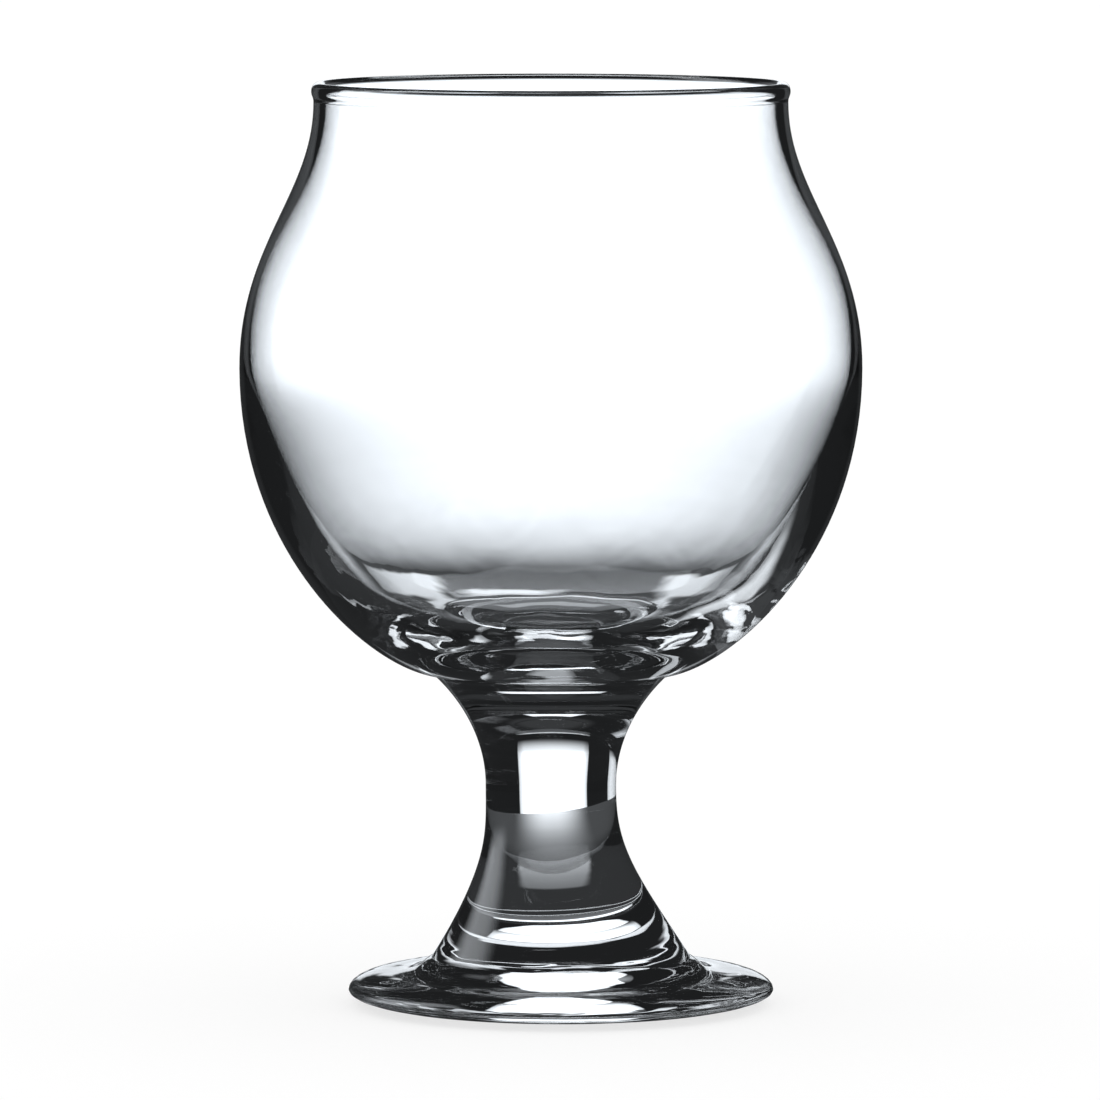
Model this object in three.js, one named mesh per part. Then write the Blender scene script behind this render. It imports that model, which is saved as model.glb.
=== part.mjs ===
// A short-stemmed taster glass for beer: a blown bowl, a pressed stem and a pressed foot, three
// gathers of clear glass fused end to end. Millimetres, +Z up. The origin lies on the bowl's axis,
// at the height of the table that the foot stands on.
import * as THREE from "three";

// Heights of the three gathers, stacked from the table up
const footHeight = 5.2;
const stemLength = 32.5;
const bowlHeight = 67.1;

// Fused joints
const footJointDiameter = 29.5;
const bowlJointDiameter = 27;

// Bowl, outside
const bellyDiameter = 70.6;
const bellyRise = 34.7; // above the joint with the stem

// Rim: a fire-polished bead, thicker than the wall below it
const rimDiameter = 54.2;
const beadThickness = 1.6;
const beadHalfHeight = 1; // crest to the widest ring of the bead
const neckDrop = 2.2; // crest to the neck under the bead
const neckInset = 0.25; // the neck lies this far in from the widest ring of the bead

// Bowl, inside
const neckWall = 1.3;
const bellyWall = 1.1;
const innerBellyLift = 1.55; // the inside is widest a little higher than the outside
const floorThickness = 4.55;
const haunchRise = 6; // above the floor
const haunchInset = 12.6; // inwards from the outside of the belly
const haunchLean = THREE.MathUtils.degToRad(46.5); // from the vertical

// Stem
const waistDiameter = 14.84;
const waistRise = 19.7; // above the joint with the foot

// Foot
const footDiameter = 48.4;
const edgeHeight = 1.5; // table to the widest ring
const edgeRound = 4.5; // how far in the rounding of the edge starts on top
const edgeRoundDrop = 1.9; // from there down to the widest ring
const standInset = 8.2; // foot's edge to the outer side of the ring that it stands on
const standWidth = 4.7;
const hollowDepth = 0.25; // shallow hollow under the foot

// The stem set slightly askew: its lower half drifts this far along +X, and the foot with it
const footOffset = 1.15;

// How long each curve holds its direction at its two ends, as a share of that stretch's own span
const shoulderFullness = { neck: 0.345, belly: 0.47 };
const lowerBowlFullness = { belly: 0.645, joint: 0.255 };
const innerShoulderFullness = { neck: 0.375, belly: 0.48 };
const innerSideFullness = { belly: 0.365, haunch: 0.27 };
const innerFloorFullness = { haunch: 1.29, centre: 0.52 };
const stemTopFullness = { jointOut: 0.54, jointDown: 0.23, waist: 0.41 };
const stemFootFullness = { jointOut: 0.95, jointUp: 0.55, waist: 0.315 };
const footTopFullness = { jointOut: 0.29, jointDown: 0.33, edge: 0.76 };
const beadFullness = 0.5;
const arcFullness = 0.5523; // makes a Bezier stretch follow a quarter of an ellipse

// Smoothness of the solids
const facets = 60;
const longSteps = 10;
const midSteps = 6;
const shortSteps = 3;

// Heights above the table
const stemTop = footHeight + stemLength;
const rimHeight = stemTop + bowlHeight;
const waistHeight = footHeight + waistRise;
const bellyHeight = stemTop + bellyRise;
const innerBellyHeight = bellyHeight + innerBellyLift;
const neckHeight = rimHeight - neckDrop;
const beadHeight = rimHeight - beadHalfHeight;
const floorHeight = stemTop + floorThickness;
const haunchHeight = floorHeight + haunchRise;

// Radii
const footJointRadius = footJointDiameter / 2;
const bowlJointRadius = bowlJointDiameter / 2;
const bellyRadius = bellyDiameter / 2;
const beadRadius = rimDiameter / 2;
const neckRadius = beadRadius - neckInset;
const waistRadius = waistDiameter / 2;
const footRadius = footDiameter / 2;

// A point of an outline: its distance from the axis and its height
const at = (radius, height) => new THREE.Vector2(radius, height);

// A smooth stretch of an outline between two points, with the directions it leaves and arrives in
function curve(start, leave, arrive, end, steps) {
  const from = start.clone().add(leave);
  const to = end.clone().add(arrive);
  return new THREE.CubicBezierCurve(start, from, to, end).getPoints(steps);
}

// A quarter of an ellipse that leaves along the radius or along the height
function quarter(start, end, leavesUpright, steps) {
  const across = at((end.x - start.x) * arcFullness, 0);
  const upright = at(0, (end.y - start.y) * arcFullness);
  return leavesUpright
    ? curve(start, upright, across.clone().negate(), end, steps)
    : curve(start, across, upright.clone().negate(), end, steps);
}

// Joins stretches end to end, leaving out each point that two of them share
function outline(...stretches) {
  return stretches.flatMap((stretch, i) => (i === 0 ? stretch : stretch.slice(1)));
}

// A solid turned from an outline that starts and ends on the axis
function turned(points) {
  return new THREE.LatheGeometry(points, facets).rotateX(Math.PI / 2);
}

// Clear glass, nearly colourless
function clearGlass() {
  return new THREE.MeshStandardMaterial({
    color: 0xe4ecee,
    roughness: 0.03,
    metalness: 0,
    transparent: true,
    opacity: 0.35,
  });
}

function bowlOutline() {
  const joint = at(bowlJointRadius, stemTop);
  const belly = at(bellyRadius, bellyHeight);
  const neck = at(neckRadius, neckHeight);
  const lowerSpan = bellyHeight - stemTop;
  const upperSpan = neckHeight - bellyHeight;
  const base = [at(0, stemTop), joint];
  const lower = curve(
    joint,
    at((bellyRadius - bowlJointRadius) * lowerBowlFullness.joint, 0),
    at(0, -lowerSpan * lowerBowlFullness.belly),
    belly,
    longSteps,
  );
  const shoulder = curve(
    belly,
    at(0, upperSpan * shoulderFullness.belly),
    at(0, -upperSpan * shoulderFullness.neck),
    neck,
    longSteps,
  );
  return outline(base, lower, shoulder, rimOutline(), innerOutline());
}

// From the neck outside, over the crest of the bead, to the neck inside
function rimOutline() {
  const innerNeckRadius = neckRadius - neckWall;
  const innerBeadRadius = beadRadius - beadThickness;
  const crest = at(beadRadius - beadThickness / 2, rimHeight);
  const pull = at(0, (beadHeight - neckHeight) * beadFullness);
  const push = pull.clone().negate();
  const outerBead = at(beadRadius, beadHeight);
  const innerBead = at(innerBeadRadius, beadHeight);
  return outline(
    curve(at(neckRadius, neckHeight), pull, push, outerBead, shortSteps),
    quarter(outerBead, crest, true, shortSteps),
    quarter(crest, innerBead, false, shortSteps),
    curve(innerBead, push, pull, at(innerNeckRadius, neckHeight), shortSteps),
  );
}

// From the neck down the inside of the bowl to the middle of its floor
function innerOutline() {
  const neck = at(neckRadius - neckWall, neckHeight);
  const belly = at(bellyRadius - bellyWall, innerBellyHeight);
  const haunch = at(bellyRadius - haunchInset, haunchHeight);
  const centre = at(0, floorHeight);
  const upperSpan = neckHeight - innerBellyHeight;
  const sideSpan = innerBellyHeight - haunchHeight;
  const slope = at(Math.sin(haunchLean), Math.cos(haunchLean));
  const shoulder = curve(
    neck,
    at(0, -upperSpan * innerShoulderFullness.neck),
    at(0, upperSpan * innerShoulderFullness.belly),
    belly,
    longSteps,
  );
  const side = curve(
    belly,
    at(0, -sideSpan * innerSideFullness.belly),
    slope.clone().multiplyScalar(sideSpan * innerSideFullness.haunch),
    haunch,
    midSteps,
  );
  const floor = curve(
    haunch,
    slope.clone().multiplyScalar(-haunchRise * innerFloorFullness.haunch),
    at(haunch.x * innerFloorFullness.centre, 0),
    centre,
    midSteps,
  );
  return outline(shoulder, side, floor);
}

function stemOutline() {
  const footJoint = at(footJointRadius, footHeight);
  const waist = at(waistRadius, waistHeight);
  const bowlJoint = at(bowlJointRadius, stemTop);
  const lowerSpan = waistHeight - footHeight;
  const upperSpan = stemTop - waistHeight;
  const flareOut = footJointRadius - waistRadius;
  const capOut = bowlJointRadius - waistRadius;
  const lower = curve(
    footJoint,
    at(-flareOut * stemFootFullness.jointOut, lowerSpan * stemFootFullness.jointUp),
    at(0, -lowerSpan * stemFootFullness.waist),
    waist,
    longSteps,
  );
  const upper = curve(
    waist,
    at(0, upperSpan * stemTopFullness.waist),
    at(-capOut * stemTopFullness.jointOut, -upperSpan * stemTopFullness.jointDown),
    bowlJoint,
    longSteps,
  );
  return outline([at(0, footHeight), footJoint], lower, upper, [bowlJoint, at(0, stemTop)]);
}

function footOutline() {
  const standRadius = footRadius - standInset;
  const hollowRadius = standRadius - standWidth;
  const widest = at(footRadius, edgeHeight);
  const edgeTop = at(footRadius - edgeRound, edgeHeight + edgeRoundDrop);
  const joint = at(footJointRadius, footHeight);
  const topSpan = edgeTop.x - footJointRadius;
  const topDrop = footHeight - edgeTop.y;
  const hollow = new THREE.QuadraticBezierCurve(
    at(0, hollowDepth),
    at(hollowRadius / 2, hollowDepth),
    at(hollowRadius, 0),
  ).getPoints(midSteps);
  const stand = [at(hollowRadius, 0), at(standRadius, 0)];
  const underEdge = quarter(at(standRadius, 0), widest, false, shortSteps);
  const overEdge = quarter(widest, edgeTop, true, shortSteps);
  const top = curve(
    edgeTop,
    at(-topSpan * footTopFullness.edge, 0),
    at(topSpan * footTopFullness.jointOut, -topDrop * footTopFullness.jointDown),
    joint,
    longSteps,
  );
  return outline(hollow, stand, underEdge, overEdge, top, [joint, at(0, footHeight)]);
}

// Shifts the lower half of the stem sideways, little by little, from the waist down to the foot
function leanTowardsFoot(geometry) {
  const place = geometry.getAttribute("position");
  for (let i = 0; i < place.count; i++) {
    const kept = THREE.MathUtils.smoothstep(place.getZ(i), footHeight, waistHeight);
    place.setX(i, place.getX(i) + footOffset * (1 - kept));
  }
  return geometry;
}

function makeBowl() {
  const bowl = new THREE.Mesh(turned(bowlOutline()), clearGlass());
  bowl.name = "bowl";
  return bowl;
}

function makeStem() {
  const stem = new THREE.Mesh(leanTowardsFoot(turned(stemOutline())), clearGlass());
  stem.name = "stem";
  return stem;
}

function makeFoot() {
  const foot = new THREE.Mesh(turned(footOutline()), clearGlass());
  foot.name = "foot";
  foot.position.x = footOffset;
  return foot;
}

const tasterGlass = new THREE.Group();
tasterGlass.add(makeBowl(), makeStem(), makeFoot());

export default tasterGlass;
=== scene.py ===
"""A short-stemmed taster glass of clear glass: bowl, stem and foot, fused end to end."""
import math
from typing import NamedTuple

import bmesh
import bpy
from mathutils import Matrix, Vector
from mathutils.geometry import interpolate_bezier


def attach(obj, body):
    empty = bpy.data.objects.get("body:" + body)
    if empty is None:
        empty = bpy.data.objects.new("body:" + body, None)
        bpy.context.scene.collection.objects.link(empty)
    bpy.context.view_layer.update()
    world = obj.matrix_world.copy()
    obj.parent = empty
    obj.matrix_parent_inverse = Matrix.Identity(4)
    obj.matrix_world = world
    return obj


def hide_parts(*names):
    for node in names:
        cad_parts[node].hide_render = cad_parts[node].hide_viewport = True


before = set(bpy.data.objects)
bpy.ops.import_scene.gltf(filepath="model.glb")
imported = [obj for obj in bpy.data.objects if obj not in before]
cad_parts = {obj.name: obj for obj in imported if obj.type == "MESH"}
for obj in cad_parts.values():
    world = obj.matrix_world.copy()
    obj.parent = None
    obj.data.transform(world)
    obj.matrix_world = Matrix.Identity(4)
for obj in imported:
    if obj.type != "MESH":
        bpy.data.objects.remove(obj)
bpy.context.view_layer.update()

MM = 0.001

# Heights above the table, in millimetres
FOOT_TOP = 5.2
WAIST_HEIGHT = 24.9
STEM_TOP = 37.7
BELLY_HEIGHT = 72.4
RIM_HEIGHT = 104.8

# Fused joints
FOOT_JOINT_RADIUS = 14.75
BOWL_JOINT_RADIUS = 13.5

# Bowl, outside
BELLY_RADIUS = 35.3

# Rim bead
BEAD_RADIUS = 27.1
BEAD_THICKNESS = 1.6
BEAD_HALF_HEIGHT = 1.0
NECK_DROP = 2.2
NECK_INSET = 0.25

# Bowl, inside
NECK_WALL = 1.3
BELLY_WALL = 1.1
INNER_BELLY_LIFT = 1.55
FLOOR_THICKNESS = 4.55
HAUNCH_RISE = 6.0
HAUNCH_INSET = 12.6
HAUNCH_LEAN = math.radians(46.5)

# Stem and foot
WAIST_RADIUS = 7.42
FOOT_RADIUS = 24.2
EDGE_HEIGHT = 1.5
EDGE_ROUND = 4.5
EDGE_ROUND_DROP = 1.9
STAND_INSET = 8.2
STAND_WIDTH = 4.7
HOLLOW_DEPTH = 0.25
FOOT_OFFSET = 1.15

# How long each curve holds its direction at its two ends, as a share of that stretch's own span
SHOULDER_FULLNESS = {"neck": 0.345, "belly": 0.47}
LOWER_BOWL_FULLNESS = {"belly": 0.645, "joint": 0.255}
INNER_SHOULDER_FULLNESS = {"neck": 0.375, "belly": 0.48}
INNER_SIDE_FULLNESS = {"belly": 0.365, "haunch": 0.27}
INNER_FLOOR_FULLNESS = {"haunch": 1.29, "centre": 0.52}
STEM_TOP_FULLNESS = {"joint_out": 0.54, "joint_down": 0.23, "waist": 0.41}
STEM_FOOT_FULLNESS = {"joint_out": 0.95, "joint_up": 0.55, "waist": 0.315}
FOOT_TOP_FULLNESS = {"joint_out": 0.29, "joint_down": 0.33, "edge": 0.76}
BEAD_FULLNESS = 0.5

# How far a Bezier handle reaches so that the stretch follows a quarter of an ellipse
ARC_FULLNESS = 0.5523

# Smoothness of the turned glass
TURN_STEPS = 192
LONG_STEPS = 36
MID_STEPS = 24
SHORT_STEPS = 8

# Vertices this close, in metres, are one, and faces this close to a height lie at it
SAME_PLACE = 1e-8
SAME_HEIGHT = 1e-7

# How often light may turn or pass a surface before it is lost
MOST_BOUNCES = 32
MOST_TURNS = 24


class Card(NamedTuple):
    """A white card far round the glass, lit for one kind of light. Angles are in degrees.

    The reach is the angle of its middle, half its width, the width of its dimmer sides and the level at
    their edge. The heights are where it starts, where it is full, where that ends and where it ends. A
    positive sag lets the lower edge hang lower towards the sides, and a negative one lifts it there.
    """

    reach: tuple
    heights: tuple
    strength: float
    light: str
    sag: float = 0


class PaintedGlint(NamedTuple):
    """A painted glint on the table: a pale glowing patch that stands in for light reflected or gathered
    there, shown for one kind of light.

    The band is where it starts, where it is full, where that ends and where it ends, in millimetres from
    the bowl's axis. The reach is like a card's. Only light that falls steeply enough sees a painted
    glint with a slant, which gives where the glint starts to show and where it shows in full.
    """

    band: tuple
    reach: tuple
    strength: float
    light: str
    slant: tuple = None


# The cards. An angle of 0 is straight behind the glass, and 90 is to its right
PANEL_CENTRE = -1.8
PANEL_HALF_WIDTH = 22.3
CARDS = [
    # The bright panel behind the glass, and a card above it
    Card((PANEL_CENTRE, PANEL_HALF_WIDTH, 5, 0.5), (-24, -8, 9.5, 28), 1.7, "panel", 1.06),
    Card((PANEL_CENTRE, 21, 4, 0.6), (16.5, 17.8, 58, 66), 1.7, "once", -1.0),
    # A high card behind the glass, for the white line below the crease under the bowl
    Card((0, 24, 6, 0.5), (50, 51.5, 57.5, 59), 1.6, "several"),
    # Small cards at the sides, for glints in the thick glass
    Card((105, 20, 5, 0.6), (23, 27, 45, 47), 1.2, "many"),
    Card((-105, 20, 5, 0.6), (23, 27, 45, 47), 1.2, "many"),
    Card((41, 6, 2, 0.6), (1, 5, 24, 27), 1.1, "many"),
    Card((-41, 6, 2, 0.6), (1, 5, 24, 27), 1.1, "many"),
    Card((-74, 7.5, 3, 0.6), (-3, 1, 12, 16), 1.4, "many"),
    # The softbox on the left, first as the glass bends it and then as the outside reflects it
    Card((-81.5, 30.5, 8, 0.7), (-25, -14, 14, 28), 1.1, "few"),
    Card((-73, 28, 22, 0), (-4, 8, 52, 62), 3, "outside"),
    # Low cards beyond the table, seen straight through the bowl from other sides
    Card((-52, 20, 8, 0.5), (-42, -34, -18, -14), 1.3, "straight"),
    Card((135, 24, 10, 0.5), (-34, -26, -8, -4), 1.3, "straight"),
]

# The dark round table top that the glass sees, and the painted glints on it: pale glowing patches that
# stand in for light on the table
TABLE_RADIUS = 124
ALL_ROUND = (0, 200, 1, 1)  # wider than a full turn, so it has no sides
PAINTED_GLINTS = [
    # A painted glint line behind the glass, and a painted gleam to the right of it
    PaintedGlint((83, 86, 88.5, 92), (-3.7, 5.2, 3, 0.3), 1, "not_straight_stem", (0.67, 0.62)),
    PaintedGlint((42, 52, 90, 108), (38, 14, 8, 0.3), 1, "bent", (0.6, 0.54)),
    # Two soft spots of painted light behind the foot
    PaintedGlint((28, 31, 36, 39), (0, 8, 4, 0.4), 0.4, "straight_bowl"),
    PaintedGlint((24, 28, 35, 36.5), (0, 8, 4, 0.3), 0.4, "once_stem"),
    # A painted ring of light for light that falls almost straight down, and a painted glint line close
    # to the foot's stand
    PaintedGlint((19.8, 20.3, 23.5, 24), ALL_ROUND, 1.8, "once_bowl", (0.16, 0.13)),
    PaintedGlint((16.8, 17.4, 20.4, 21), (3.4, 11, 4, 0.5), 0.7, "straight_stem"),
    # Two short arcs of painted light behind the foot, for the pale ellipse in the thick base
    PaintedGlint((42.5, 44.5, 47.5, 49.5), (-1, 17, 4, 0.5), 1.8, "once_bowl"),
    PaintedGlint((50, 52, 63, 66), (-1, 11, 5, 0.4), 1.8, "thrice"),
]


def at(radius, height):
    """A point of an outline: its distance from the axis and its height."""
    return Vector((radius, 0, height))


def curve(start, leave, arrive, end, steps):
    """A smooth stretch between two points, with the directions it leaves and arrives in."""
    return interpolate_bezier(start, start + leave, end + arrive, end, steps + 1)


def quarter(start, end, leaves_upright, steps):
    """A quarter of an ellipse that leaves along the height or along the radius."""
    across = at((end.x - start.x) * ARC_FULLNESS, 0)
    upright = at(0, (end.z - start.z) * ARC_FULLNESS)
    if leaves_upright:
        return curve(start, upright, -across, end, steps)
    return curve(start, across, -upright, end, steps)


def rim_stretches(neck_height):
    """From the neck outside, over the crest of the bead, to the neck inside."""
    neck_radius = BEAD_RADIUS - NECK_INSET
    bead_height = RIM_HEIGHT - BEAD_HALF_HEIGHT
    crest = at(BEAD_RADIUS - BEAD_THICKNESS / 2, RIM_HEIGHT)
    outer_bead = at(BEAD_RADIUS, bead_height)
    inner_bead = at(BEAD_RADIUS - BEAD_THICKNESS, bead_height)
    outer_neck = at(neck_radius, neck_height)
    inner_neck = at(neck_radius - NECK_WALL, neck_height)
    pull = at(0, (bead_height - neck_height) * BEAD_FULLNESS)
    return [
        curve(outer_neck, pull, -pull, outer_bead, SHORT_STEPS),
        quarter(outer_bead, crest, True, SHORT_STEPS),
        quarter(crest, inner_bead, False, SHORT_STEPS),
        curve(inner_bead, -pull, pull, inner_neck, SHORT_STEPS),
    ]


def inside_stretches(neck_height):
    """From the neck down the inside of the bowl to the middle of its floor."""
    floor_height = STEM_TOP + FLOOR_THICKNESS
    belly_height = BELLY_HEIGHT + INNER_BELLY_LIFT
    haunch_height = floor_height + HAUNCH_RISE
    neck = at(BEAD_RADIUS - NECK_INSET - NECK_WALL, neck_height)
    belly = at(BELLY_RADIUS - BELLY_WALL, belly_height)
    haunch = at(BELLY_RADIUS - HAUNCH_INSET, haunch_height)
    upper = at(0, neck_height - belly_height)
    side = belly_height - haunch_height
    slope = at(math.sin(HAUNCH_LEAN), math.cos(HAUNCH_LEAN))
    return [
        curve(
            neck,
            upper * -INNER_SHOULDER_FULLNESS["neck"],
            upper * INNER_SHOULDER_FULLNESS["belly"],
            belly,
            LONG_STEPS,
        ),
        curve(
            belly,
            at(0, -side * INNER_SIDE_FULLNESS["belly"]),
            slope * (side * INNER_SIDE_FULLNESS["haunch"]),
            haunch,
            MID_STEPS,
        ),
        curve(
            haunch,
            slope * (-HAUNCH_RISE * INNER_FLOOR_FULLNESS["haunch"]),
            at(haunch.x * INNER_FLOOR_FULLNESS["centre"], 0),
            at(0, floor_height),
            LONG_STEPS,
        ),
    ]


def bowl_stretches():
    """From the middle of the joint with the stem, up the outside, over the rim and down the inside."""
    neck_height = RIM_HEIGHT - NECK_DROP
    joint = at(BOWL_JOINT_RADIUS, STEM_TOP)
    belly = at(BELLY_RADIUS, BELLY_HEIGHT)
    neck = at(BEAD_RADIUS - NECK_INSET, neck_height)
    lower = at(0, BELLY_HEIGHT - STEM_TOP)
    upper = at(0, neck_height - BELLY_HEIGHT)
    spread = at(BELLY_RADIUS - BOWL_JOINT_RADIUS, 0)
    return [
        [at(0, STEM_TOP), joint],
        curve(
            joint,
            spread * LOWER_BOWL_FULLNESS["joint"],
            lower * -LOWER_BOWL_FULLNESS["belly"],
            belly,
            LONG_STEPS,
        ),
        curve(
            belly,
            upper * SHOULDER_FULLNESS["belly"],
            upper * -SHOULDER_FULLNESS["neck"],
            neck,
            LONG_STEPS,
        ),
        *rim_stretches(neck_height),
        *inside_stretches(neck_height),
    ]


def stem_stretches():
    """From the middle of the joint with the foot, up the waisted side, to the joint with the bowl."""
    foot_joint = at(FOOT_JOINT_RADIUS, FOOT_TOP)
    waist = at(WAIST_RADIUS, WAIST_HEIGHT)
    bowl_joint = at(BOWL_JOINT_RADIUS, STEM_TOP)
    lower = WAIST_HEIGHT - FOOT_TOP
    upper = STEM_TOP - WAIST_HEIGHT
    flare = FOOT_JOINT_RADIUS - WAIST_RADIUS
    cap = BOWL_JOINT_RADIUS - WAIST_RADIUS
    return [
        [at(0, FOOT_TOP), foot_joint],
        curve(
            foot_joint,
            at(-flare * STEM_FOOT_FULLNESS["joint_out"], lower * STEM_FOOT_FULLNESS["joint_up"]),
            at(0, -lower * STEM_FOOT_FULLNESS["waist"]),
            waist,
            LONG_STEPS,
        ),
        curve(
            waist,
            at(0, upper * STEM_TOP_FULLNESS["waist"]),
            at(-cap * STEM_TOP_FULLNESS["joint_out"], -upper * STEM_TOP_FULLNESS["joint_down"]),
            bowl_joint,
            LONG_STEPS,
        ),
        [bowl_joint, at(0, STEM_TOP)],
    ]


def foot_stretches():
    """From the middle of the hollow below, round the edge, up to the joint with the stem."""
    stand_radius = FOOT_RADIUS - STAND_INSET
    hollow_radius = stand_radius - STAND_WIDTH
    hollow_top = at(0, HOLLOW_DEPTH)
    hollow_edge = at(hollow_radius, 0)
    stand_edge = at(stand_radius, 0)
    widest = at(FOOT_RADIUS, EDGE_HEIGHT)
    edge_top = at(FOOT_RADIUS - EDGE_ROUND, EDGE_HEIGHT + EDGE_ROUND_DROP)
    joint = at(FOOT_JOINT_RADIUS, FOOT_TOP)
    span = edge_top.x - FOOT_JOINT_RADIUS
    drop = FOOT_TOP - edge_top.z
    return [
        curve(
            hollow_top,
            at(hollow_radius / 3, 0),
            at(-hollow_radius / 3, HOLLOW_DEPTH * 2 / 3),
            hollow_edge,
            MID_STEPS,
        ),
        [hollow_edge, stand_edge],
        quarter(stand_edge, widest, False, SHORT_STEPS),
        quarter(widest, edge_top, True, SHORT_STEPS),
        curve(
            edge_top,
            at(-span * FOOT_TOP_FULLNESS["edge"], 0),
            at(span * FOOT_TOP_FULLNESS["joint_out"], -drop * FOOT_TOP_FULLNESS["joint_down"]),
            joint,
            LONG_STEPS,
        ),
        [joint, at(0, FOOT_TOP)],
    ]


def turn(stretches):
    """Turns an outline that starts and ends on the axis into a closed, smooth bmesh."""
    points = list(stretches[0])
    for stretch in stretches[1:]:
        points += stretch[1:]
    bm = bmesh.new()
    verts = [bm.verts.new(point * MM) for point in points]
    edges = [bm.edges.new(pair) for pair in zip(verts, verts[1:])]
    bmesh.ops.spin(
        bm,
        geom=verts + edges,
        cent=(0, 0, 0),
        axis=(0, 0, 1),
        angle=math.tau,
        steps=TURN_STEPS,
        use_merge=True,
    )
    bmesh.ops.remove_doubles(bm, verts=bm.verts, dist=SAME_PLACE)
    bmesh.ops.recalc_face_normals(bm, faces=bm.faces)
    for face in bm.faces:
        face.smooth = True
    return bm


def mark_joint(bm, height):
    """Gives the flat fused face at a height the see-through finish, with a sharp edge round it."""
    for face in bm.faces:
        if all(abs(vert.co.z - height * MM) < SAME_HEIGHT for vert in face.verts):
            face.smooth = False
            face.material_index = 1
    for edge in bm.edges:
        kinds = {face.material_index for face in edge.link_faces}
        if len(kinds) > 1:
            edge.smooth = False


def lean_towards_foot(bm):
    """Shifts the stem sideways, little by little, from the waist down to the foot."""
    for vert in bm.verts:
        share = (vert.co.z / MM - FOOT_TOP) / (WAIST_HEIGHT - FOOT_TOP)
        share = min(max(share, 0), 1)
        kept = share * share * (3 - 2 * share)
        vert.co.x += FOOT_OFFSET * MM * (1 - kept)


def new_object(name, bm, materials):
    """Makes an object of a bmesh, with its materials."""
    mesh = bpy.data.meshes.new(name)
    bm.to_mesh(mesh)
    bm.free()
    for material in materials:
        mesh.materials.append(material)
    made = bpy.data.objects.new(name, mesh)
    bpy.context.scene.collection.objects.link(made)
    return made


def finish_piece(name, bm, materials, node):
    """Makes the object of a piece, hangs it on the root body, and hides the imported solid that it
    stands for.
    """
    piece = new_object(name, bm, materials)
    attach(piece, "root")
    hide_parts(node)


class Sums:
    """Builds arithmetic on numbers that vary, as nodes of one tree."""

    def __init__(self, tree):
        self.tree = tree

    def math(self, operation, *values):
        """One sum, of plain numbers and of numbers that vary."""
        node = self.tree.nodes.new("ShaderNodeMath")
        node.operation = operation
        for socket, value in zip(node.inputs, values):
            if isinstance(value, (int, float)):
                socket.default_value = value
            else:
                self.tree.links.new(value, socket)
        return node.outputs[0]

    def product(self, first, *others):
        """Multiplies two or more numbers."""
        total = first
        for other in others:
            total = self.math("MULTIPLY", total, other)
        return total

    def step(self, value, start, end):
        """Rises smoothly from 0 to 1 as a value goes from start to end, or falls if end is lower."""
        node = self.tree.nodes.new("ShaderNodeMapRange")
        node.interpolation_type = "SMOOTHSTEP"
        low, high = min(start, end), max(start, end)
        node.inputs["From Min"].default_value = low
        node.inputs["From Max"].default_value = high
        node.inputs["To Min"].default_value = 0 if start < end else 1
        node.inputs["To Max"].default_value = 1 if start < end else 0
        self.tree.links.new(value, node.inputs["Value"])
        return node.outputs["Result"]

    def turn_step(self, angle, start, end):
        """A step of an angle, between two angles in degrees."""
        return self.step(angle, math.radians(start), math.radians(end))

    def band(self, distance, starts, full_from, full_to, ends):
        """A ring on the table with soft sides, in millimetres."""
        rises = self.step(distance, starts * MM, full_from * MM)
        falls = self.step(distance, ends * MM, full_to * MM)
        return self.product(rises, falls)

    def reach(self, angle, centre, half_width, fade_width, edge_level):
        """How much of a card shows at an angle: full, dimmer near its sides, then cut off."""
        softness = 0.5
        off = self.math("SUBTRACT", angle, math.radians(centre))
        off = self.math("ABSOLUTE", self.math("WRAP", off, math.pi, -math.pi))
        cut = self.turn_step(off, half_width + softness, half_width - softness)
        fade = self.turn_step(off, half_width - fade_width, half_width)
        dimmed = self.math("MULTIPLY_ADD", fade, edge_level - 1, 1)
        return self.product(cut, dimmed)

    def mixed(self, share, without, with_it):
        """Goes from one number to another as a share goes from 0 to 1."""
        node = self.tree.nodes.new("ShaderNodeMix")
        self.tree.links.new(share, node.inputs[0])
        self.tree.links.new(without, node.inputs[2])
        self.tree.links.new(with_it, node.inputs[3])
        return node.outputs[0]

    def split(self, place):
        """The three coordinates of a place."""
        node = self.tree.nodes.new("ShaderNodeSeparateXYZ")
        self.tree.links.new(place, node.inputs[0])
        return node.outputs


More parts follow.
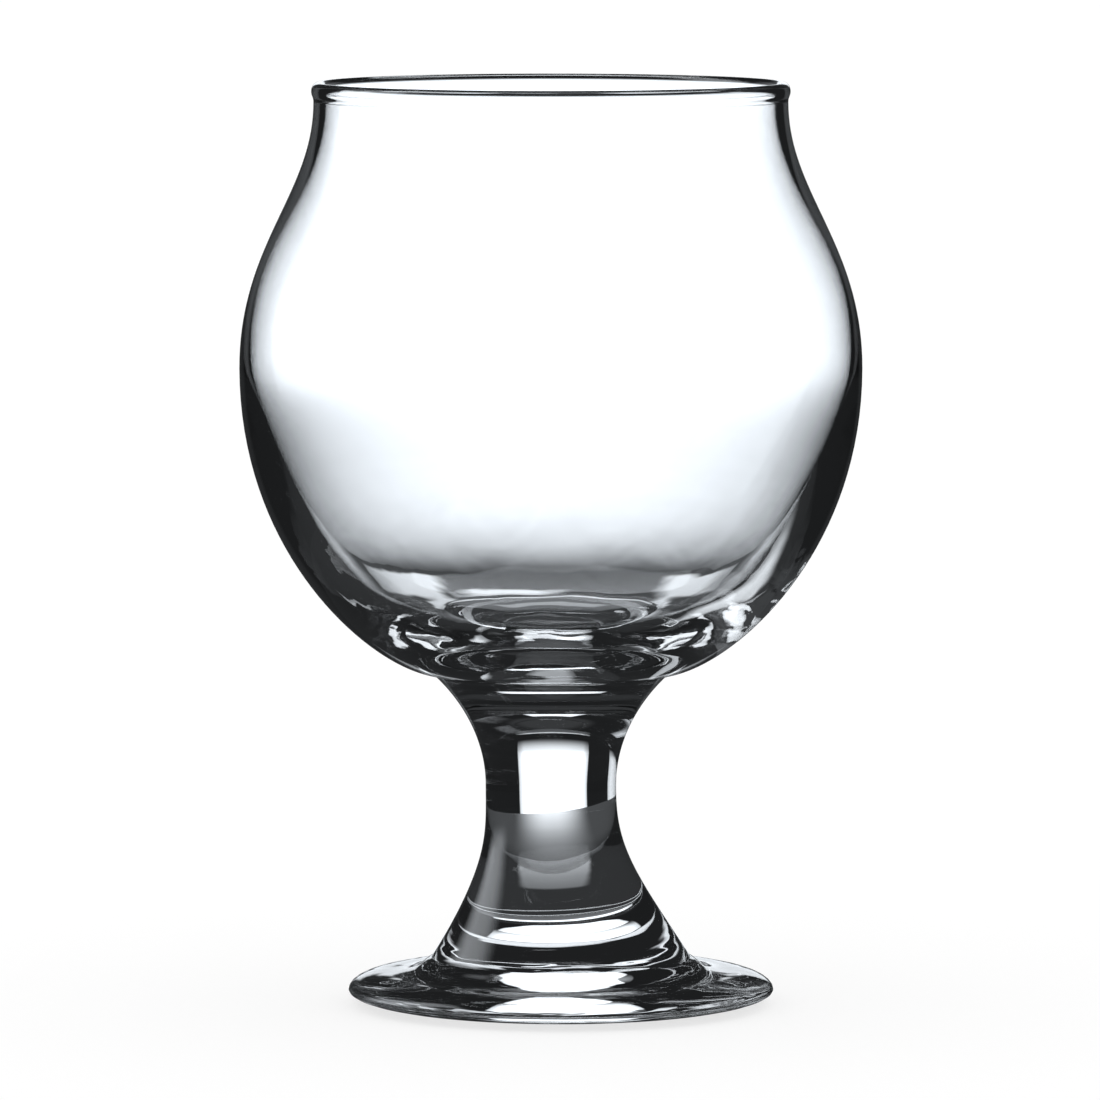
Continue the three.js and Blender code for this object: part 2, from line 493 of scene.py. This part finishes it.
def glass_ripples():
    """The faint unevenness of worked glass: soft ripples, and fine rings left by turning."""
    group = bpy.data.node_groups.new("glass_ripples", "ShaderNodeTree")
    group.interface.new_socket("Place", in_out="INPUT", socket_type="NodeSocketVector")
    for name in ("Ripple Scale", "Ring Scale", "Ring Share", "Calm Height"):
        group.interface.new_socket(name, in_out="INPUT", socket_type="NodeSocketFloat")
    for name in ("Height", "Roughness"):
        group.interface.new_socket(name, in_out="OUTPUT", socket_type="NodeSocketFloat")
    sums = Sums(group)
    given = group.nodes.new("NodeGroupInput")
    result = group.nodes.new("NodeGroupOutput")

    # Soft ripples
    ripple = group.nodes.new("ShaderNodeTexNoise")
    ripple.inputs["Detail"].default_value = 1.5
    ripple.inputs["Roughness"].default_value = 0.4
    ripple.inputs["Distortion"].default_value = 0.5
    group.links.new(given.outputs["Place"], ripple.inputs["Vector"])
    group.links.new(given.outputs["Ripple Scale"], ripple.inputs["Scale"])

    # Rings, made a little wavy by the ripples
    waviness = 0.6
    height = sums.split(given.outputs["Place"])["Z"]
    level_rings = sums.product(height, given.outputs["Ring Scale"])
    wavy_rings = sums.math("MULTIPLY_ADD", ripple.outputs[0], waviness, level_rings)
    rings = group.nodes.new("ShaderNodeTexNoise")
    rings.noise_dimensions = "1D"
    rings.inputs["Scale"].default_value = 1
    rings.inputs["Detail"].default_value = 1
    group.links.new(wavy_rings, rings.inputs["W"])

    # Both together, calmer above a height
    calm_share = 0.08
    calming_length = 20 * MM
    uneven = sums.mixed(given.outputs["Ring Share"], ripple.outputs[0], rings.outputs[0])
    above = sums.math("SUBTRACT", height, given.outputs["Calm Height"])
    lively = sums.step(above, 0, -calming_length)
    lively = sums.math("MULTIPLY_ADD", lively, 1 - calm_share, calm_share)
    group.links.new(sums.product(uneven, lively), result.inputs["Height"])

    # Slightly dull spots
    most_dull = 0.012
    haze = group.nodes.new("ShaderNodeTexNoise")
    haze.inputs["Scale"].default_value = 260
    group.links.new(given.outputs["Place"], haze.inputs["Vector"])
    dull = sums.product(sums.step(haze.outputs[0], 0.5, 0.8), most_dull)
    group.links.new(dull, result.inputs["Roughness"])
    return group


def clear_glass(name, ripples, ripple_scale, ring_scale, ring_share, calm_height, depth):
    """Clear colourless glass with its own ripples, calm height and depth in millimetres."""
    material = bpy.data.materials.new(name)
    material.use_nodes = True
    tree = material.node_tree
    shader = tree.nodes["Principled BSDF"]
    shader.inputs["Base Color"].default_value = (0.99, 0.995, 1, 1)
    shader.inputs["IOR"].default_value = 1.52
    shader.inputs["Transmission Weight"].default_value = 1
    place = tree.nodes.new("ShaderNodeTexCoord")
    uneven = tree.nodes.new("ShaderNodeGroup")
    uneven.node_tree = ripples
    uneven.inputs["Ripple Scale"].default_value = ripple_scale
    uneven.inputs["Ring Scale"].default_value = ring_scale
    uneven.inputs["Ring Share"].default_value = ring_share
    uneven.inputs["Calm Height"].default_value = calm_height * MM
    relief = tree.nodes.new("ShaderNodeBump")
    relief.inputs["Strength"].default_value = 1
    relief.inputs["Distance"].default_value = depth * MM
    tree.links.new(place.outputs["Object"], uneven.inputs["Place"])
    tree.links.new(uneven.outputs["Height"], relief.inputs["Height"])
    tree.links.new(relief.outputs["Normal"], shader.inputs["Normal"])
    tree.links.new(uneven.outputs["Roughness"], shader.inputs["Roughness"])
    return material


def fused_face():
    """The flat face where two gathers have flowed together, which has no surface of its own."""
    material = bpy.data.materials.new("fused_face")
    material.use_nodes = True
    shader = material.node_tree.nodes["Principled BSDF"]
    shader.inputs["Alpha"].default_value = 0
    return material


def glass_only(tree, sums, plain, seen_by_glass):
    """Shows one shader to the eye and another to light that the glass bends or reflects."""
    path = tree.nodes.new("ShaderNodeLightPath")
    in_glass = sums.math("MAXIMUM", path.outputs["Is Glossy Ray"], path.outputs["Is Transmission Ray"])
    mix = tree.nodes.new("ShaderNodeMixShader")
    tree.links.new(in_glass, mix.inputs["Fac"])
    tree.links.new(plain, mix.inputs[1])
    tree.links.new(seen_by_glass, mix.inputs[2])
    return mix.outputs[0]


def tinted(tree, level):
    """A level of light, slightly blue as in open shade."""
    tint = tree.nodes.new("ShaderNodeVectorMath")
    tint.operation = "SCALE"
    tint.inputs[0].default_value = (0.95, 1.0, 1.05)
    tree.links.new(level, tint.inputs["Scale"])
    return tint.outputs[0]


def panel_share(sums, path, angle, rise, outside):
    """How much of the panel's light counts: less after a turn in a wall, none after three turns.

    A reflection off the outside shows only a low middle part of the panel.
    """
    wall_loss = 0.92
    reflection_lift = math.radians(12)
    mirrored_share = 0.85
    least_mirrored = 0.02
    turns = path.outputs["Glossy Depth"]
    unfused = sums.math("SUBTRACT", 1, path.outputs["Transparent Depth"])
    in_wall = sums.math("MAXIMUM", unfused, sums.turn_step(rise, 0.5, -0.5))
    lifted = sums.math("MULTIPLY_ADD", path.outputs["Is Reflection Ray"], reflection_lift, rise)
    in_wall = sums.product(in_wall, sums.turn_step(lifted, 24, 17))
    shaded = sums.math("MULTIPLY_ADD", sums.math("MINIMUM", turns, in_wall), -wall_loss, 1)
    shaded = sums.product(shaded, sums.math("LESS_THAN", turns, 2.5))
    low = sums.product(sums.turn_step(rise, 0, 2), sums.turn_step(rise, 9.5, 7.5))
    middle = sums.turn_step(sums.math("ABSOLUTE", angle), 10, 8)
    mirrored = sums.product(low, middle)
    mirrored = sums.math("MULTIPLY_ADD", mirrored, mirrored_share, least_mirrored)
    return sums.mixed(outside, shaded, mirrored)


def card_lights(sums, path, angle, rise):
    """The kinds of light that the cards are lit for, mostly by how often it turned in the glass."""
    loss_by_turns = 0.95
    turns = path.outputs["Glossy Depth"]
    outside = sums.math("LESS_THAN", path.outputs["Transmission Depth"], 0.5)
    outside = sums.product(outside, path.outputs["Is Reflection Ray"])
    within = sums.math("SUBTRACT", 1, outside)
    few = sums.math("MULTIPLY_ADD", sums.step(turns, 2.5, 6), -loss_by_turns, 1)
    return {
        "panel": panel_share(sums, path, angle, rise, outside),
        "straight": sums.math("LESS_THAN", turns, 0.5),
        "once": sums.product(sums.math("COMPARE", turns, 1, 0.5), within),
        "few": sums.product(few, within),
        "several": sums.math("COMPARE", turns, 4.5, 0.6),
        "many": sums.math("GREATER_THAN", turns, 6.5),
        "outside": outside,
    }


def studio_world():
    """White to the eye, while the glass sees white cards in a dark room, a little paler overhead."""
    room_level = 0.012
    overhead_level = 0.03
    world = bpy.data.worlds.new("studio")
    bpy.context.scene.world = world
    world.use_nodes = True
    tree = world.node_tree
    tree.nodes.clear()
    sums = Sums(tree)
    place = tree.nodes.new("ShaderNodeTexCoord")
    path = tree.nodes.new("ShaderNodeLightPath")
    along, back, height = sums.split(place.outputs["Generated"])
    angle = sums.math("ARCTAN2", along, back)
    rise = sums.math("ARCSINE", height)
    spread = sums.product(angle, angle)
    lights = card_lights(sums, path, angle, rise)
    overhead = sums.turn_step(rise, 62, 75)
    level = sums.math("MULTIPLY_ADD", overhead, overhead_level, room_level)
    for card in CARDS:
        starts, full_from, full_to, ends = card.heights
        sagged = sums.math("MULTIPLY_ADD", spread, card.sag, rise)
        low = sums.turn_step(sagged, starts, full_from)
        high = sums.turn_step(rise, ends, full_to)
        wide = sums.reach(angle, *card.reach)
        shown = sums.product(wide, low, high, card.strength, lights[card.light])
        level = sums.math("MAXIMUM", level, shown)
    seen = tree.nodes.new("ShaderNodeBackground")
    tree.links.new(tinted(tree, level), seen.inputs["Color"])
    plain = tree.nodes.new("ShaderNodeBackground")
    plain.inputs["Color"].default_value = (1, 1, 1, 1)
    out = tree.nodes.new("ShaderNodeOutputWorld")
    tree.links.new(glass_only(tree, sums, plain.outputs[0], seen.outputs[0]), out.inputs["Surface"])


def table_lights(sums, path):
    """The kinds of light that the table is lit for: how often it turned, and through which piece."""
    turns = path.outputs["Glossy Depth"]
    passes = path.outputs["Transmission Depth"]
    straight = sums.math("LESS_THAN", turns, 0.5)
    once = sums.math("COMPARE", turns, 1, 0.5)
    through_bowl = sums.math("GREATER_THAN", passes, 2.5)
    through_stem = sums.math("SUBTRACT", 1, through_bowl)
    straight_stem = sums.product(straight, through_stem)
    not_straight_stem = sums.math("SUBTRACT", 1, straight_stem)
    return {
        "straight": straight,
        "straight_bowl": sums.product(straight, through_bowl),
        "straight_stem": straight_stem,
        "not_straight_stem": not_straight_stem,
        "bent": sums.product(sums.math("GREATER_THAN", passes, 0.5), not_straight_stem),
        "once_bowl": sums.product(once, through_bowl),
        "once_stem": sums.product(once, through_stem),
        "once_at_most": sums.math("LESS_THAN", turns, 1.5),
        "thrice": sums.math("COMPARE", turns, 3, 0.5),
    }


def table_dusk(sums, distance, lights):
    """The table's painted dim light: paler for light that turned once at most; for light that went
    straight, darker close to the foot as a painted shadow of the glass, with a painted pale ring round
    the foot through the bowl.
    """
    darkest = 0.014
    after_one_turn = 0.02
    away_from_foot = 0.041
    through_the_bowl = 0.15
    # Painted shadow: the table glows less close to the foot, and a painted pale ring lies round it
    farther = sums.product(sums.step(distance, 16 * MM, 42 * MM), lights["straight"])
    round_foot = sums.product(sums.band(distance, 17, 26, 46, 62), lights["straight_bowl"])
    dusk = sums.math("MULTIPLY_ADD", lights["once_at_most"], after_one_turn, darkest)
    dusk = sums.math("MULTIPLY_ADD", farther, away_from_foot, dusk)
    return sums.math("MULTIPLY_ADD", round_foot, through_the_bowl, dusk)


def panel_on_table(sums, angle, distance, facing, lights):
    """The panel's shine on the table: towards the back, in two patches, and soft through the stem."""
    sideways = sums.math("ABSOLUTE", angle)
    near = sums.product(sums.step(facing, 0.53, 0.758), sums.step(distance, 112 * MM, 70 * MM))
    sheen = sums.math("MAXIMUM", near, sums.step(facing, 0.69, 0.73))
    shine = sums.product(sums.reach(angle, PANEL_CENTRE, PANEL_HALF_WIDTH, 8, 0.55), sheen)
    patches = sums.product(
        sums.reach(angle, 0, 24, 8, 0.4),
        sums.turn_step(sideways, 9, 11.5),
        sums.band(distance, 78, 84, 112, 118),
        sums.step(facing, 0.67, 0.62),
    )
    shine = sums.math("MAXIMUM", shine, patches)
    soft = sums.product(sums.step(distance, 5 * MM, 130 * MM), sums.turn_step(sideways, 24, 2))
    return sums.mixed(lights["straight_stem"], shine, soft)


def painted_side_light(sums, angle, distance, lights):
    """Painted light on the table's sides and front, for light straight through the bowl."""
    strength = 1.2
    sideways = sums.math("ABSOLUTE", angle)
    return sums.product(
        sums.turn_step(sideways, 25, 35),
        sums.step(distance, 30 * MM, 110 * MM),
        lights["straight_bowl"],
        strength,
    )


def glow_under_foot(sums, along, back, distance, lights):
    """A tapering glow under the foot, for light that turned once and passed no wall of the bowl."""
    taper = 0.44
    brightest = 0.675
    fall_per_mm = 0.053
    off_centre = sums.math("ABSOLUTE", sums.math("SUBTRACT", along, FOOT_OFFSET * MM))
    narrowing = sums.math("MULTIPLY_ADD", back, taper, off_centre)
    return sums.product(
        sums.step(distance, 10.3 * MM, 9.8 * MM),
        sums.step(narrowing, 5.9 * MM, 5.3 * MM),
        sums.math("MULTIPLY_ADD", distance, -fall_per_mm / MM, brightest),
        lights["once_stem"],
    )


def table_level(tree, sums):
    """How bright the table top is at each place, with the distance of that place from the axis."""
    place = tree.nodes.new("ShaderNodeTexCoord")
    path = tree.nodes.new("ShaderNodeLightPath")
    slant = tree.nodes.new("ShaderNodeLayerWeight")
    facing = slant.outputs["Facing"]
    along, back, _ = sums.split(place.outputs["Object"])
    angle = sums.math("ARCTAN2", along, back)
    squares = sums.math("MULTIPLY_ADD", along, along, sums.product(back, back))
    distance = sums.math("SQRT", squares)
    lights = table_lights(sums, path)
    lit = panel_on_table(sums, angle, distance, facing, lights)
    lit = sums.math("MAXIMUM", lit, painted_side_light(sums, angle, distance, lights))
    lit = sums.math("MAXIMUM", lit, glow_under_foot(sums, along, back, distance, lights))
    # Add the painted glints: glowing patches that stand in for light reflected or gathered on the table
    for painted_glint in PAINTED_GLINTS:
        ring = sums.band(distance, *painted_glint.band)
        part = sums.reach(angle, *painted_glint.reach)
        shown = sums.product(ring, part, painted_glint.strength, lights[painted_glint.light])
        if painted_glint.slant:
            shown = sums.product(shown, sums.step(facing, *painted_glint.slant))
        lit = sums.math("MAXIMUM", lit, shown)
    dusk = table_dusk(sums, distance, lights)
    return sums.math("ADD", dusk, lit), distance


def white_floor():
    """White to the eye, with a faint shadow. The glass sees a dark round table top that glows with
    painted light: painted shine, glints and shade.
    """
    grey = 0.3
    own_glow = 0.72
    edge_softness = 1
    material = bpy.data.materials.new("white_floor")
    material.use_nodes = True
    tree = material.node_tree
    tree.nodes.clear()
    sums = Sums(tree)
    matt = tree.nodes.new("ShaderNodeBsdfDiffuse")
    matt.inputs["Color"].default_value = (grey, grey, grey, 1)
    glow = tree.nodes.new("ShaderNodeEmission")
    glow.inputs["Strength"].default_value = own_glow
    white = tree.nodes.new("ShaderNodeAddShader")
    tree.links.new(matt.outputs[0], white.inputs[0])
    tree.links.new(glow.outputs[0], white.inputs[1])

    # The table top, which ends a little way from the glass
    level, distance = table_level(tree, sums)
    table = tree.nodes.new("ShaderNodeEmission")
    tree.links.new(tinted(tree, level), table.inputs["Color"])
    open_air = tree.nodes.new("ShaderNodeBsdfTransparent")
    top = tree.nodes.new("ShaderNodeMixShader")
    outer_edge = (TABLE_RADIUS + edge_softness) * MM
    inner_edge = (TABLE_RADIUS - edge_softness) * MM
    on_table = sums.step(distance, outer_edge, inner_edge)
    tree.links.new(on_table, top.inputs["Fac"])
    tree.links.new(open_air.outputs[0], top.inputs[1])
    tree.links.new(table.outputs[0], top.inputs[2])
    out = tree.nodes.new("ShaderNodeOutputMaterial")
    tree.links.new(glass_only(tree, sums, white.outputs[0], top.outputs[0]), out.inputs["Surface"])
    return material


def pale_floor():
    """A wide floor, just below the foot."""
    half_width = 12
    drop = 0.2 * MM
    bm = bmesh.new()
    bmesh.ops.create_grid(bm, x_segments=1, y_segments=1, size=half_width)
    bmesh.ops.translate(bm, verts=bm.verts, vec=(0, 0, -drop))
    floor = new_object("floor", bm, [white_floor()])


def place_camera():
    """Stands where the photograph was taken from, slightly above the rim."""
    spot = Vector((-0.0001, -1.045, 0.144))
    aim = Vector((-0.0001, 0, 0.05169))
    lens = bpy.data.cameras.new("camera")
    lens.sensor_fit = "HORIZONTAL"
    lens.sensor_width = 36
    lens.lens = 302.36
    camera = bpy.data.objects.new("camera", lens)
    camera.location = spot
    camera.rotation_euler = (aim - spot).to_track_quat("-Z", "Y").to_euler()
    bpy.context.scene.collection.objects.link(camera)
    bpy.context.scene.camera = camera


def make_bowl(ripples, joint_face):
    """The blown bowl, rippled in its thick base and calm above."""
    finish = clear_glass(
        "clear_bowl",
        ripples,
        ripple_scale=150,
        ring_scale=300,
        ring_share=0.2,
        calm_height=59,
        depth=0.08,
    )
    bowl = turn(bowl_stretches())
    mark_joint(bowl, STEM_TOP)
    finish_piece("bowl_glass", bowl, [finish, joint_face], "bowl")


def make_stem(ripples, joint_face):
    """The pressed stem, with faint rings, its lower half drifting towards the foot."""
    finish = clear_glass(
        "clear_stem",
        ripples,
        ripple_scale=120,
        ring_scale=500,
        ring_share=0.6,
        calm_height=200,
        depth=0.02,
    )
    stem = turn(stem_stretches())
    mark_joint(stem, FOOT_TOP)
    mark_joint(stem, STEM_TOP)
    lean_towards_foot(stem)
    finish_piece("stem_glass", stem, [finish, joint_face], "stem")


def make_foot(ripples, joint_face):
    """The pressed foot, set where the stem's lower end is."""
    finish = clear_glass(
        "clear_foot",
        ripples,
        ripple_scale=170,
        ring_scale=300,
        ring_share=0.15,
        calm_height=200,
        depth=0.13,
    )
    foot = turn(foot_stretches())
    mark_joint(foot, FOOT_TOP)
    bmesh.ops.translate(foot, verts=foot.verts, vec=(FOOT_OFFSET * MM, 0, 0))
    finish_piece("foot_glass", foot, [finish, joint_face], "foot")


def let_light_through():
    """Lets light turn often enough in the thick glass, and shows colours as they are."""
    scene = bpy.context.scene
    scene.view_settings.view_transform = "Standard"
    scene.cycles.max_bounces = MOST_BOUNCES
    scene.cycles.glossy_bounces = MOST_TURNS
    scene.cycles.transmission_bounces = MOST_BOUNCES
    scene.cycles.transparent_max_bounces = MOST_BOUNCES


worked_surface = glass_ripples()
see_through = fused_face()
make_bowl(worked_surface, see_through)
make_stem(worked_surface, see_through)
make_foot(worked_surface, see_through)
pale_floor()
studio_world()
place_camera()
let_light_through()
